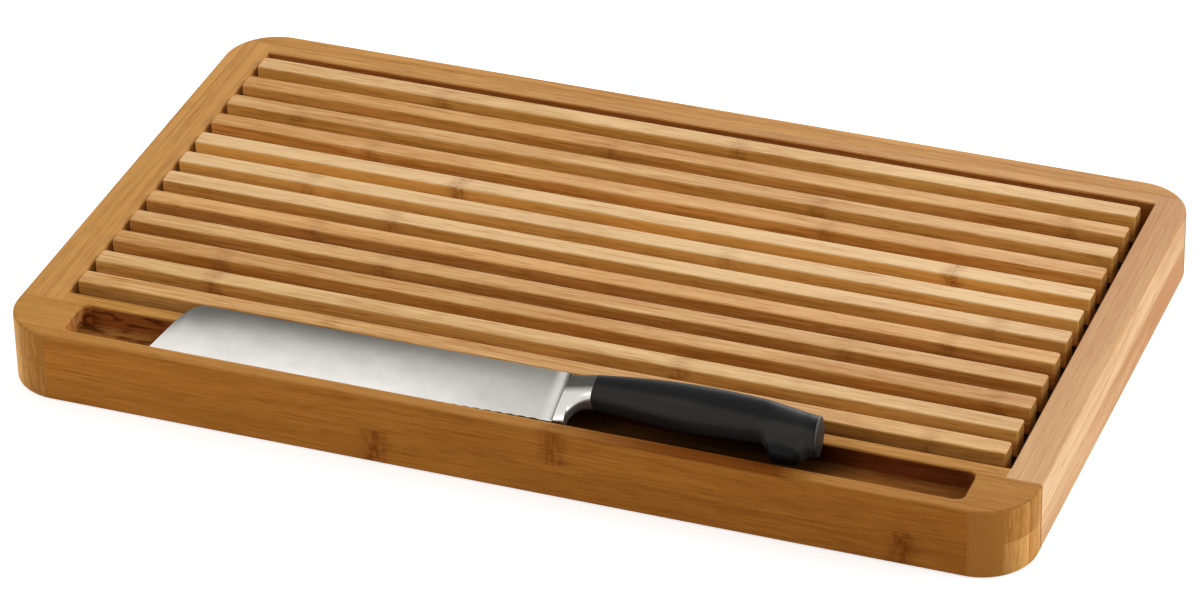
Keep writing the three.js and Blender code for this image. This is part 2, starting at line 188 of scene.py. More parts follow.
class Wiring:
    """Adds nodes to a tree and links them; a source is a socket or a plain value."""

    def __init__(self, tree):
        self.tree = tree

    def node(self, kind, **settings):
        node = self.tree.nodes.new(kind)
        for key, value in settings.items():
            setattr(node, key, value)
        return node

    def feed(self, socket, source):
        if isinstance(source, bpy.types.NodeSocket):
            self.tree.links.new(source, socket)
        else:
            socket.default_value = source

    def fill(self, node, **sources):
        """Feeds a node's inputs by name, with underscores for spaces."""
        for label, source in sources.items():
            self.feed(node.inputs[label.replace("_", " ")], source)
        return node

    def math(self, operation, a, b=0.0, c=0.0, clamp=False):
        node = self.node("ShaderNodeMath", operation=operation, use_clamp=clamp)
        for socket, source in zip(node.inputs, (a, b, c)):
            self.feed(socket, source)
        return node.outputs[0]

    def times(self, product, *others):
        """The product of all the sources."""
        for other in others:
            product = self.math("MULTIPLY", product, other)
        return product

    def add(self, base, source, factor, clamp=False):
        """The base plus a source times a factor."""
        return self.math("MULTIPLY_ADD", source, factor, base, clamp)

    def vary(self, base, noise, contrast, clamp=False):
        """The base moved up and down by a noise, whose middle is 0.5, times a contrast."""
        return self.add(base, self.math("SUBTRACT", noise, 0.5), contrast, clamp)

    def either(self, mask, a, b):
        """a where the mask is 1 and b where it is 0."""
        return self.add(self.times(self.math("SUBTRACT", 1.0, mask), b), mask, a)

    def vector(self, operation, a, b=(0, 0, 0)):
        node = self.node("ShaderNodeVectorMath", operation=operation)
        self.feed(node.inputs[0], a)
        self.feed(node.inputs[1], b)
        return node.outputs[0]

    def split(self, source):
        node = self.node("ShaderNodeSeparateXYZ")
        self.feed(node.inputs[0], source)
        return node.outputs

    def join(self, x, y, z):
        node = self.node("ShaderNodeCombineXYZ")
        for socket, source in zip(node.inputs, (x, y, z)):
            self.feed(socket, source)
        return node.outputs[0]

    def noise(self, place, scales, detail=2.0, roughness=0.5, distortion=0.0):
        """Noise over a place, with a scale for each axis or one for all."""
        if isinstance(scales, tuple):
            place, scales = self.vector("MULTIPLY", place, scales), 1.0
        node = self.fill(self.node("ShaderNodeTexNoise"), Vector=place, Scale=scales,
                         Detail=detail, Roughness=roughness, Distortion=distortion)
        return node.outputs[0]

    def ease(self, value, start, end):
        """0 below start and 1 above end, smooth between; turned over where start is above end."""
        node = self.node("ShaderNodeMapRange", interpolation_type="SMOOTHSTEP")
        return self.fill(node, Value=value, From_Min=start, From_Max=end).outputs["Result"]

    def band(self, value, start, full, fading, end):
        """1 from full to fading and 0 outside start and end, smooth between."""
        return self.times(self.ease(value, start, full), self.ease(value, end, fading))

    def mix(self, factor, a, b, blend="MIX"):
        node = self.node("ShaderNodeMix", data_type="RGBA", blend_type=blend)
        self.feed(node.inputs["Factor"], factor)
        self.feed(node.inputs[6], a)
        self.feed(node.inputs[7], b)
        return node.outputs[2]

    def tint(self, mask, colour, tint):
        """The colour, multiplied by a tint where the mask is 1."""
        return self.mix(mask, colour, tint, "MULTIPLY")

    def ramp(self, value, stops):
        node = self.node("ShaderNodeValToRGB")
        self.feed(node.inputs[0], value)
        elements = node.color_ramp.elements
        while len(elements) < len(stops):
            elements.new(0.5)
        for element, (place, colour) in zip(elements, stops):
            element.position = place
            element.color = colour
        return node.outputs[0]

    def bump(self, height, strength, distance):
        """A bump node's normal from a height."""
        node = self.node("ShaderNodeBump")
        return self.fill(node, Strength=strength, Distance=distance, Height=height).outputs["Normal"]


# ---- materials


def make_bamboo_group():
    """Laminated bamboo as a solid pattern: X along the grain, Y across the strips, Z up the layers.

    Each strip of each layer has its own tone. Fibres are noise drawn out along X, so they show as
    streaks on faces and sides. End grain has a tone for each strip, denser towards the strip's
    outer skin, with upright streaks. Knots are mottled bands at stated places along X, moved on by
    a step from strip to strip. Painted shade darkens the sides from one height down to another."""
    group = new_group(
        "Laminated bamboo",
        (
            ("Vector", "Vector", (0, 0, 0)),
            ("Normal", "Vector", (0, 0, 1)),
            ("Strip Width", "Float", 0.0053),
            ("Strip Start", "Float", 0.0),
            ("Layer Height", "Float", LAYER_HEIGHT),
            ("Seed", "Float", 0.0),
            ("Face Light", "Color", linear(214, 165, 108)),
            ("Face Deep", "Color", linear(178, 120, 66)),
            ("Side Light", "Color", linear(190, 128, 62)),
            ("Side Deep", "Color", linear(140, 80, 34)),
            ("End Tone", "Color", linear(180, 136, 72)),
            ("End Amount", "Float", 1.0),
            ("End Start", "Float", 0.02),
            ("End Contrast", "Float", 0.8),
            ("Strip Contrast", "Float", 0.5),
            ("Broad Contrast", "Float", 1.2),
            ("Fibre Contrast", "Float", 1.0),
            ("Upper Tone", "Float", 0.0),
            ("Lower Tone", "Float", 0.0),
            ("Side Tone", "Float", 0.0),
            ("Along Tone", "Float", 0.0),
            ("Knots Upper", "Vector", (NO_KNOT, NO_KNOT, NO_KNOT)),
            ("Knots Lower", "Vector", (NO_KNOT, NO_KNOT, NO_KNOT)),
            ("Knot Step", "Float", 0.11),
            ("Knot Reach", "Float", 0.0065),
            ("Knot Strength", "Float", 0.8),
            ("Joint Lines", "Float", 0.35),
            ("Painted Shade Top", "Float", 0.03),
            ("Painted Shade Bottom", "Float", 0.022),
            ("Grime Amount", "Float", 0.0),
        ),
        (("Color", "Color"), ("Roughness", "Float"), ("Height", "Float")),
    )
    w = Wiring(group)
    given = w.node("NodeGroupInput").outputs
    x, y, z = w.split(given["Vector"])

    # each strip of each layer is a cell with its own chances
    across = w.math("DIVIDE", w.math("SUBTRACT", y, given["Strip Start"]), given["Strip Width"])
    up = w.math("DIVIDE", w.math("ADD", z, LAYER_NUDGE), given["Layer Height"])
    strip, layer = w.math("FLOOR", across), w.math("FLOOR", up)
    cell = w.math("ADD", w.add(strip, layer, LAYER_STEP), given["Seed"])
    chance = w.node("ShaderNodeTexWhiteNoise", noise_dimensions="1D")
    w.feed(chance.inputs["W"], w.math("ADD", cell, 0.5))
    tone_chance, place_chance, tint_chance = w.split(chance.outputs["Color"])
    is_upper = w.math("GREATER_THAN", layer, 0.5)

    # tone: strip and layer, a slow change along the piece, broad clouds, fibres and pores
    grain = w.join(w.add(x, place_chance, GRAIN_SHIFT), y, z)
    broad = w.noise(grain, (9, 150, 150), roughness=0.55, distortion=0.3)
    fibre = w.noise(grain, (26, 900, 900), detail=3.0, roughness=0.6, distortion=0.2)
    fine = w.noise(grain, (110, 2600, 2600), roughness=0.6)
    pores = w.noise(grain, (75, 1500, 1500), detail=1.0)
    tone = w.vary(0.5, tone_chance, given["Strip Contrast"])
    tone = w.math("ADD", w.add(tone, x, given["Along Tone"]),
                  w.either(is_upper, given["Upper Tone"], given["Lower Tone"]))
    tone = w.vary(tone, broad, given["Broad Contrast"])
    streaks = w.vary(w.vary(0.0, fibre, 1.3), fine, 0.7)
    streaks = w.add(streaks, w.ease(pores, 0.56, 0.7), -0.3)
    tone = w.add(tone, streaks, given["Fibre Contrast"], clamp=True)

    # faces, sides and end grain have colours of their own; the sides' colours also carry painted
    # shade
    normal = w.split(w.vector("ABSOLUTE", given["Normal"]))
    face = w.ease(normal[2], 0.35, 0.85)
    end = w.times(w.ease(normal[0], given["End Start"], w.math("ADD", given["End Start"], 0.08)),
                  given["End Amount"])
    face_colour = w.mix(tone, given["Face Deep"], given["Face Light"])
    side_tone = w.math("ADD", tone, given["Side Tone"], clamp=True)
    side_colour = w.mix(side_tone, given["Side Deep"], given["Side Light"])
    upright = w.noise(given["Vector"], (500, 1300, 130), roughness=0.6)
    end_tone = w.vary(0.5, tone_chance, given["End Contrast"])
    end_tone = w.vary(end_tone, w.math("FRACT", across), 0.35)
    end_tone = w.add(end_tone, w.times(x, 1.6), given["Along Tone"])
    end_tone = w.vary(end_tone, upright, 1.1, clamp=True)
    end_deep = w.tint(1.0, given["End Tone"], linear(190, 168, 138))
    end_colour = w.mix(end_tone, end_deep, given["End Tone"])
    colour = w.mix(face, w.mix(end, side_colour, end_colour), face_colour)

    # knots
    moved = w.times(strip, given["Knot Step"])
    wave = w.vary(x, broad, 0.012)
    knot = 0.0
    for upper, lower in zip(w.split(given["Knots Upper"]), w.split(given["Knots Lower"])):
        place = w.math("ADD", w.either(is_upper, upper, lower), moved)
        away = w.math("ABSOLUTE", w.math("SUBTRACT", wave, place))
        knot = w.math("MAXIMUM", knot, w.ease(away, given["Knot Reach"], 0.5 * MM))
    mottle = w.ease(w.noise(given["Vector"], (520, 700, 260), detail=3.0, roughness=0.6), 0.3, 0.72)
    knot = w.times(knot, w.add(0.25, mottle, 0.75), given["Knot Strength"], w.add(1.0, face, -0.4))
    colour = w.tint(knot, colour, linear(168, 128, 96))

    # joint lines between strips, stronger on end grain, and between layers, fainter there
    lines = []
    for cells, start, facing, at_end in (
            (across, 0.46, normal[1], 1.2), (up, 0.486, normal[2], -0.7)):
        edge = w.math("ABSOLUTE", w.math("SUBTRACT", w.math("FRACT", cells), 0.5))
        lines.append(w.times(w.ease(edge, start, 0.5), w.ease(facing, 0.7, 0.3),
                             w.add(1.0, end, at_end)))
    line = w.math("MULTIPLY", w.math("MAXIMUM", *lines), given["Joint Lines"], clamp=True)
    colour = w.tint(line, colour, linear(120, 78, 42))

    # each strip leans a little red or green, and painted shade darkens the sides low down, more on
    # end grain
    lean = w.mix(tint_chance, linear(255, 246, 236), linear(255, 255, 246))
    colour = w.tint(0.6, colour, lean)
    grime = w.times(w.ease(z, given["Painted Shade Top"], given["Painted Shade Bottom"]), given["Grime Amount"],
                    w.math("SUBTRACT", 1.0, face))
    grime = w.math("MULTIPLY", grime, w.add(1.0, end, 0.5), clamp=True)
    colour = w.tint(grime, colour, linear(100, 88, 74))

    height = w.add(w.times(fine, 0.4), fibre, 0.6)
    w.fill(w.node("NodeGroupOutput"), Color=colour,
           Roughness=w.add(w.add(0.4, fibre, 0.22), knot, 0.1),
           Height=w.add(w.add(height, line, -1.5), knot, 0.6))
    return group


def make_steel_group():
    """Ground steel: fine scratches that run along U and faint smudges, as a factor for colour."""
    group = new_group(
        "Ground steel",
        (
            ("UV", "Vector", (0, 0, 0)),
            ("Scratch Contrast", "Float", 0.06),
            ("Smudge Contrast", "Float", 0.08),
            ("Roughness Base", "Float", 0.3),
        ),
        (("Shade", "Float"), ("Roughness", "Float"), ("Height", "Float")),
    )
    w = Wiring(group)
    given = w.node("NodeGroupInput").outputs
    scratch = w.noise(given["UV"], (40, 260, 0), detail=3.0, roughness=0.6)
    smudge_place = w.vector("ADD", w.vector("MULTIPLY", given["UV"], (14, 3, 0)), (0, 0, 3))
    smudge = w.noise(smudge_place, 1.0, detail=3.0, roughness=0.55)
    shade = w.vary(1.0, scratch, given["Scratch Contrast"])
    w.fill(w.node("NodeGroupOutput"), Shade=w.vary(shade, smudge, given["Smudge Contrast"]),
           Roughness=w.add(given["Roughness Base"], scratch, 0.08), Height=scratch)
    return group


def start_material(name):
    """A new material, its wiring and its Principled shader."""
    material = bpy.data.materials.new(name)
    material.use_nodes = True
    return material, Wiring(material.node_tree), material.node_tree.nodes["Principled BSDF"]


def recess_marks_and_shade(w, place, colour):
    """Darkens a colour on the walls and floor of the knife's recess, with marks and painted shade.

    Inside it is darker, redder on the walls and in streaks along the floor, and paler at the left
    end, with cloudy burns there. Painted shade darkens it under the grip, most under the grip's
    middle, and at the right end, and a painted shadow of the grip darkens the lip beside it."""
    x, y, z = w.split(place)
    inside = w.times(
        w.band(y, RECESS_FRONT - 0.3 * MM, RECESS_FRONT - 0.1 * MM,
               RECESS_BACK + 0.1 * MM, RECESS_BACK + 0.3 * MM),
        w.band(z, RECESS_FLOOR - 2.8 * MM, RECESS_FLOOR - 0.8 * MM,
               TRAY_TOP - 1.4 * MM, TRAY_TOP - 0.4 * MM),
        w.ease(w.math("ABSOLUTE", x), MARKS_AND_SHADE_REACH + 0.5 * MM, MARKS_AND_SHADE_REACH))
    streak = w.ease(w.noise(place, (45, 260, 260), detail=3.0, roughness=0.6), 0.35, 0.65)
    marks_and_shade = w.mix(streak, linear(208, 184, 184), linear(236, 218, 220))
    wall = w.ease(z, RECESS_FLOOR + 0.3 * MM, RECESS_FLOOR + 1.2 * MM)
    marks_and_shade = w.tint(wall, marks_and_shade, linear(224, 204, 206))
    # painted shade under the grip and at the right end of the recess
    grip_shade = w.times(w.band(x, -30 * MM, 20 * MM, 120 * MM, 160 * MM), 0.9)
    right_end_shade = w.times(w.ease(x, 150 * MM, 195 * MM), 0.25)
    marks_and_shade = w.tint(w.math("MAXIMUM", grip_shade, right_end_shade), marks_and_shade, linear(118, 122, 134))
    # the deepest painted shade, under the grip's middle
    deepest_grip_shade = w.times(w.band(x, 50 * MM, 100 * MM, 125 * MM, 150 * MM), 0.7)
    marks_and_shade = w.tint(deepest_grip_shade, marks_and_shade, linear(150, 150, 150))
    left_end = w.ease(x, -120 * MM, -150 * MM)
    marks_and_shade = w.mix(w.times(left_end, 0.75), marks_and_shade, linear(238, 226, 214))
    burnt = w.times(w.ease(w.noise(place, (95, 330, 330)), 0.45, 0.66), left_end,
                    w.ease(y, RECESS_FRONT + 6 * MM, RECESS_FRONT + 14 * MM))
    marks_and_shade = w.tint(burnt, marks_and_shade, linear(164, 142, 134))
    colour = w.tint(inside, colour, marks_and_shade)
    # painted shadow of the grip on the lip beside it
    grip_shadow_on_lip = w.times(w.ease(z, TRAY_TOP - 1 * MM, TRAY_TOP - 0.3 * MM),
                   w.ease(y, RECESS_FRONT + 1 * MM, RECESS_FRONT),
                   w.band(x, 0.0, 85 * MM, 120 * MM, 135 * MM))
    return w.tint(grip_shadow_on_lip, colour, linear(194, 160, 132))


def bamboo(name, turned=False, marked_and_shaded=False, gloss=MATT_GLOSS, **values):
    """A laminated bamboo material; turned means that the grain runs along Y."""
    material, w, shader = start_material(name)
    group = bpy.data.node_groups.get("Laminated bamboo") or make_bamboo_group()
    wood = w.node("ShaderNodeGroup", node_tree=group)
    coordinates = w.node("ShaderNodeTexCoord").outputs
    for label, source in (("Vector", "Object"), ("Normal", "Normal")):
        direction = coordinates[source]
        if turned:
            turn = w.fill(w.node("ShaderNodeMapping"), Rotation=(0, 0, math.pi / 2),
                          Vector=direction)
            direction = turn.outputs["Vector"]
        w.feed(wood.inputs[label], direction)
    w.fill(wood, **{label.title(): value for label, value in values.items()})
    colour = wood.outputs["Color"]
    # the recess gets its marks and its painted shade
    if marked_and_shaded:
        colour = recess_marks_and_shade(w, coordinates["Object"], colour)
    w.fill(shader, Base_Color=colour, Roughness=wood.outputs["Roughness"],
           Normal=w.bump(wood.outputs["Height"], 0.25, 0.3 * MM), Specular_IOR_Level=gloss)
    return material


def blade_tone(w, tone, run, height):
    """A blade's tone with painted reflections: duller along its tip, more even towards the heel, a
    painted highlight where it flares out to the bolster, and dark where it meets it. Height is a
    share of the blade's own."""
    # painted reflections: even grey towards the heel, duller along the tip
    tone = w.mix(w.times(w.ease(run, -90 * MM, 0.0), 0.5), tone, linear(152, 149, 142))
    from_tip = w.math("SUBTRACT", w.math("ADD", run, BLADE_LENGTH), w.times(height, 11 * MM))
    at_tip = w.times(w.ease(from_tip, 7 * MM, 0.0), w.ease(height, 0.25, 0.9))
    near_tip = w.times(w.ease(from_tip, 34 * MM, 4 * MM), w.ease(height, 0.45, 0.95), 0.7)
    tone = w.mix(w.math("MAXIMUM", at_tip, near_tip), tone, linear(96, 96, 92))
    # painted highlight where the blade flares out to the bolster
    flare = w.times(w.band(run, -7 * MM, -3 * MM, -2.2 * MM, -1.2 * MM), 0.6)
    tone = w.mix(flare, tone, linear(226, 223, 217))
    joint = w.times(w.ease(run, -1.2 * MM, -0.4 * MM), 0.8)
    return w.mix(joint, tone, linear(92, 88, 82))


def steel(name, stops, rough, scratch=0.06, smudge=0.08, blade=False):
    """Steel whose tone follows the height over the cutting edge, given as ramp stops of greys that
    paint its reflections.
    """
    material, w, shader = start_material(name)
    group = bpy.data.node_groups.get("Ground steel") or make_steel_group()
    place = w.node("ShaderNodeUVMap").outputs["UV"]
    ground = w.fill(w.node("ShaderNodeGroup", node_tree=group), UV=place,
                    Scratch_Contrast=scratch, Smudge_Contrast=smudge, Roughness_Base=rough)
    share, height, _ = w.split(place)
    tone = w.ramp(height, [(at, linear(*grey)) for at, grey in stops])
    if blade:
        tone = blade_tone(w, tone, w.times(share, BLADE_LENGTH), height)
    w.fill(shader, Base_Color=w.tint(1.0, tone, ground.outputs["Shade"]), Metallic=1.0,
           Roughness=ground.outputs["Roughness"],
           Normal=w.bump(ground.outputs["Height"], 0.05, 0.1 * MM))
    return material


def polymer(name, tone, lit_band_tone, rough):
    """Moulded black polymer with a fine stipple.

    Painted light makes it greyer in a band below the middle, lower towards the butt, where its side
    faces the light, and a painted highlight makes it greyer along the spine towards the butt."""
    material, w, shader = start_material(name)
    coordinates = w.node("ShaderNodeTexCoord").outputs
    place = coordinates["Object"]
    stipple = w.noise(place, 2600.0, roughness=0.6)
    cloud = w.noise(place, 60.0)
    run, height, _ = w.split(w.node("ShaderNodeUVMap").outputs["UV"])
    upper = w.vary(w.add(height, w.times(run, run), 0.5), cloud, 0.12)
    lower = w.add(height, run, 0.58)
    # painted light: a lit band on the grip's side
    lit_band = w.times(w.ease(upper, 0.72, 0.57), w.ease(lower, 0.41, 0.5))
    colour = w.mix(lit_band, tone, lit_band_tone)
    # painted highlight along the spine towards the butt
    spine = w.times(w.ease(w.split(coordinates["Normal"])[1], 0.3, 0.75),
                    w.ease(w.split(place)[0], 40 * MM, 120 * MM))
    w.fill(shader, Base_Color=w.mix(spine, colour, linear(92, 90, 87)),
           Roughness=w.add(w.add(rough, stipple, 0.08), cloud, 0.1),
           Normal=w.bump(stipple, 0.12, 0.2 * MM), Specular_IOR_Level=MATT_GLOSS)
    return material


def dress(node, material):
    """Puts a material on a CAD node in place of its own."""
    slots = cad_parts[node].data.materials
    slots.clear()
    slots.append(material)


# ---- surfaces


def knife_to_board(points):
    """Points given as run, height and thickness become points of the board's frame.

    The knife is pitched about Y, raised and set back on its seat, tilted about X, and carried to
    the recess's back edge at its place along the recess."""
    run, height, thick = np.moveaxis(np.asarray(points, float), -1, 0)
    seat_run = BOLSTER_LENGTH + GRIP_LENGTH / 2
    rise = CAD_GRIP_THICKNESS / 2 + SEAT_CLEARANCE - seat_run * math.sin(KNIFE_PITCH)
    lean = (rise + BOLSTER_FRONT_THICKNESS / 2) * math.tan(KNIFE_TILT)
    back = lean - RECESS_WIDTH / math.cos(KNIFE_TILT) + SEAT_CLEARANCE
    x = run * math.cos(KNIFE_PITCH) - thick * math.sin(KNIFE_PITCH)
    z = run * math.sin(KNIFE_PITCH) + thick * math.cos(KNIFE_PITCH) + rise
    y = height + back
    length = BLADE_LENGTH + BOLSTER_LENGTH + GRIP_LENGTH + JOINT_GAP + CAP_THICKNESS
    start = RECESS_LEFT + (RECESS_LENGTH - length) * KNIFE_PLACE_SHARE + BLADE_LENGTH
    return np.stack((
        x + start,
        y * math.cos(KNIFE_TILT) - z * math.sin(KNIFE_TILT) + RECESS_BACK,
        y * math.sin(KNIFE_TILT) + z * math.cos(KNIFE_TILT) + TRAY_TOP,
    ), axis=-1)


def smooth_line(places, run, length):
    """Measures in metres at the runs: S-shaped steps between (share, millimetres) places."""
    shares, values = np.array(places, float).T
    shares, values = shares * length, values * MM
    i = np.clip(np.searchsorted(shares, run, side="right") - 1, 0, len(shares) - 2)
    t = np.clip((run - shares[i]) / (shares[i + 1] - shares[i]), 0, 1)
    return values[i] + (values[i + 1] - values[i]) * t * t * (3 - 2 * t)


def grip_top(share):
    """Height of the grip's top edge at a share of its length: a parabola about its summit."""
    return GRIP_ARC_HEIGHT - GRIP_ARC_FALL * (share - GRIP_ARC_PLACE_SHARE) ** 2


def oblong(run, bottom, top, thickness, power=SECTION_POWER):
    """Rings across the knife, one a run: a superellipse of a power between two heights, less the
    skin. Its height and thickness are the cosine and sine of an angle, each raised to 2 / power."""
    run, bottom, top, thickness, power = (
        np.broadcast_to(v, np.shape(run))[:, None] for v in (run, bottom, top, thickness, power))
    up, across = (np.sign(wave) * np.abs(wave) ** (2 / power)
                  for wave in (np.cos(RING_ANGLES), np.sin(RING_ANGLES)))
    height = (top + bottom) / 2 + up * ((top - bottom) / 2 - SKIN)
    return np.stack((run + 0 * height, height, across * (thickness / 2 - SKIN)), axis=-1)


def slot_rings(*runs):
    """Rings of the slot that the tang lies in: a rectangle walked round at the oblong's angles."""
    up, across = np.cos(RING_ANGLES), np.sin(RING_ANGLES)
    reach = np.maximum(np.abs(across), np.abs(up))
    half_height = (TANG_TOP - TANG_BOTTOM) / 2 + TANG_SLOT
    height = (TANG_TOP + TANG_BOTTOM) / 2 + up / reach * half_height
    thick = across / reach * (SPINE_THICKNESS / 2 + TANG_SLOT)
    return np.stack(np.broadcast_arrays(np.array(runs)[:, None], height, thick), axis=-1)


def butt_share(run):
    """0 up to where the butt's slope starts and 1 at the grip's end, growing as the square."""
    share = (run - BOLSTER_LENGTH) / GRIP_LENGTH
    return np.clip((share - BUTT_SLOPE_START_SHARE) / (1 - BUTT_SLOPE_START_SHARE), 0, 1) ** 2


def slanted(rings):
    """Rings moved so that the grip's end slopes: back below the butt's middle height, and forward
    above it."""
    moved = rings.copy()
    below_middle = BUTT_MIDDLE_HEIGHT - rings[..., 1]
    moved[..., 0] += BUTT_SLOPE * butt_share(rings[..., 0]) * below_middle
    return moved


def ring_mesh(name, rings, material, replaced, through=False, sharp=35):
    """A piece of the knife: a closed mesh over rings (rows, points, 3) given in knife measures.

    With through, the last ring joins the first, as round a slot that runs right through; otherwise
    a flat face closes each end. The UV map holds run over the blade's length and height over the
    blade's own."""
    rows, count, _ = rings.shape
    index = np.arange(rows * count).reshape(rows, count)
    lower = index if through else index[:-1]
    upper = np.roll(index, -1, axis=0) if through else index[1:]
    quads = np.stack((lower, upper, np.roll(upper, -1, axis=1), np.roll(lower, -1, axis=1)),
                     axis=-1)
    faces = quads.reshape(-1, 4).tolist()
    if not through:
        faces.append(index[0].tolist())
        faces.append(index[-1][::-1].tolist())
    flat = rings.reshape(-1, 3)
    mesh = bpy.data.meshes.new(name)
    mesh.from_pydata(knife_to_board(flat).tolist(), [], faces)
    mesh.validate()
    loops = np.empty(len(mesh.loops), int)
    mesh.loops.foreach_get("vertex_index", loops)
    uv = flat[loops][:, :2] / (BLADE_LENGTH, BLADE_TIP_HEIGHT)
    mesh.uv_layers.new(name="Knife").data.foreach_set("uv", uv.astype(np.float32).ravel())
    mesh.shade_smooth()
    mesh.set_sharp_from_angle(angle=math.radians(sharp))
    mesh.materials.append(material)
    piece = bpy.data.objects.new(name, mesh)
    bpy.context.scene.collection.objects.link(piece)
    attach(piece, "knife")
    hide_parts(replaced)


def blade_rings():
    """Rings across blade and tang from the tip to the tang's end.

    The cutting edge is a row of half sine waves, the tip a cubic Bezier curve, and the spine a
    straight line down to the heel. The thickness is an even wedge from edge to spine, with a
    small flare where the blade meets the bolster."""
    t = np.linspace(0, 1, TIP_ROWS)[:, None]
    p = TIP_CURVE
    tip = ((1 - t) ** 3 * p[0] + 3 * (1 - t) ** 2 * t * p[1]
           + 3 * (1 - t) * t ** 2 * p[2] + t ** 3 * p[3])
    tip_length = p[3, 0]
    behind_tip = np.linspace(tip_length, BLADE_LENGTH, EDGE_ROWS)[1:]
    runs = np.concatenate((tip[:, 0], behind_tip)) - BLADE_LENGTH
    spine_share = (runs + BLADE_LENGTH - tip_length) / (BLADE_LENGTH - tip_length)
    top = BLADE_TIP_HEIGHT + (BLADE_HEEL_HEIGHT - BLADE_TIP_HEIGHT) * np.clip(spine_share, 0, 1)
    top[:TIP_ROWS] = tip[:, 1]
    waves = np.floor((BLADE_LENGTH - 2 * SCALLOP_START) / SCALLOP_PITCH)
    phase = (-runs - SCALLOP_START) / SCALLOP_PITCH
    scalloped = (phase > 0) & (phase < waves)
    bottom = np.where(scalloped, SCALLOP_DEPTH * np.abs(np.sin(np.pi * phase)), 0)
    bottom = np.minimum(bottom, top * 0.5)
    flare = HEEL_FLARE * np.clip(1 + runs / HEEL_FLARE_RUN, 0, 1) ** 3

    # the tang: two more rows, one at the heel and one near the grip's end
    runs = np.append(runs, (0, BOLSTER_LENGTH + GRIP_LENGTH - TANG_END_SETBACK))
    top = np.append(top, (TANG_TOP, TANG_TOP))
    bottom = np.append(bottom, (TANG_BOTTOM, TANG_BOTTOM))
    flare = np.append(flare, (0, 0))

    height = bottom[:, None] + (top - bottom)[:, None] * BLADE_SHARES
    wedge = EDGE_THICKNESS + (SPINE_THICKNESS - EDGE_THICKNESS) * height / BLADE_TIP_HEIGHT
    half = (wedge / 2 + (flare / 2)[:, None]) * BLADE_KEPT
    front = np.stack((runs[:, None] + 0 * height, height, half), axis=-1)
    return np.concatenate((front, front[:, ::-1] * (1, 1, -1)), axis=1)


def bolster_rings():
    """Rings of the bolster outside, then of its slot inside.

    Its underside is a quarter ellipse that sweeps up from the foot at the heel to the grip, and its
    thickness grows evenly from the blade's to the grip's."""
    length = BOLSTER_LENGTH - JOINT_GAP
    grip_bottom, grip_thickness = GRIP_BOTTOM[0][1] * MM, GRIP_BREADTH[0][1] * MM
    foot = np.linspace(JOINT_GAP, BOLSTER_FOOT, FOOT_ROWS, endpoint=False)
    angle = np.linspace(0, np.pi / 2, SWEEP_ROWS)
    run = np.concatenate((foot, length - (length - BOLSTER_FOOT) * np.cos(angle)))
    bottom = np.concatenate((0 * foot, grip_bottom * np.sin(angle)))
    share = (run - JOINT_GAP) / (length - JOINT_GAP)
    top = BOLSTER_FRONT_HEIGHT + (grip_top(0) - BOLSTER_FRONT_HEIGHT) * share
    thickness = BOLSTER_FRONT_THICKNESS + (grip_thickness - BOLSTER_FRONT_THICKNESS) * share
    return np.concatenate((oblong(run, bottom, top, thickness), slot_rings(run[-1], run[0])))


def grip_rings():
    """Rings of the grip outside, then of its slot inside.

    Its top edge is an arc, and its underside and breadth step smoothly from place to place. Towards
    the butt its section grows rounder. It covers the first part of the cap."""
    along = np.linspace(0, GRIP_LENGTH + CAP_COVERED, GRIP_ROWS)
    run = along + BOLSTER_LENGTH
    power = SECTION_POWER + (BUTT_SECTION_POWER - SECTION_POWER) * butt_share(run)
    bottom = smooth_line(GRIP_BOTTOM, along, GRIP_LENGTH)
    breadth = smooth_line(GRIP_BREADTH, along, GRIP_LENGTH)
    outside = oblong(run, bottom, grip_top(along / GRIP_LENGTH), breadth, power)
    return slanted(np.concatenate((outside, slot_rings(run[-1], BOLSTER_LENGTH))))


def cap_rings():
    """Rings of the butt cap past the grip: a quarter round in to its face."""
    start = BOLSTER_LENGTH + GRIP_LENGTH + JOINT_GAP + CAP_COVERED
    angle = np.linspace(0, np.pi / 2, CAP_ROWS)
    run = start + np.sin(angle) * (CAP_THICKNESS - CAP_COVERED)
    size = CAP_FACE_SIZE + (1 - CAP_FACE_SIZE) * np.cos(angle)
    low, high = GRIP_BOTTOM[-1][1] * MM, grip_top(1)
    middle, half = (low + high) / 2, (high - low) / 2 * size
    breadth = GRIP_BREADTH[-1][1] * MM * size
    return slanted(oblong(run, middle - half, middle + half, breadth, BUTT_SECTION_POWER))


# ---- properties


def colour_property(name, description, red, green, blue):
    """A colour whose default is given as a display colour."""
    return FloatVectorProperty(name=name, description=description, subtype="COLOR", size=4,
                               default=linear(red, green, blue))


class WoodLooks(bpy.types.PropertyGroup):
    strip_width: FloatProperty(name="Strip width", unit="LENGTH", default=5.28 * MM,
                               description="Width of one bamboo strip in the rails")
    rail_light: colour_property("Rail, light", "Palest tone on top of the rails", 212, 156, 85)
    rail_deep: colour_property("Rail, deep", "Deepest tone on top of the rails", 168, 110, 43)
    slat_light: colour_property("Slat, light", "Palest tone on top of the slats", 240, 204, 152)
    slat_deep: colour_property("Slat, deep", "Deepest tone on top of the slats", 186, 126, 52)


class KnifeLooks(bpy.types.PropertyGroup):
    grip_tone: colour_property("Grip", "Colour of the moulded grip", 8, 8, 8)
    # the grip's lit band is painted light
    lit_band_tone: colour_property("Grip, lit band", "Colour of the grip's painted lit band", 48, 46, 44)
    grip_roughness: FloatProperty(name="Grip roughness", subtype="FACTOR", default=0.36,
                                  description="Roughness of the moulded grip", min=0, max=1)
    blade_roughness: FloatProperty(name="Blade roughness", subtype="FACTOR", default=0.3,
                                   description="Roughness of the ground blade", min=0, max=1)


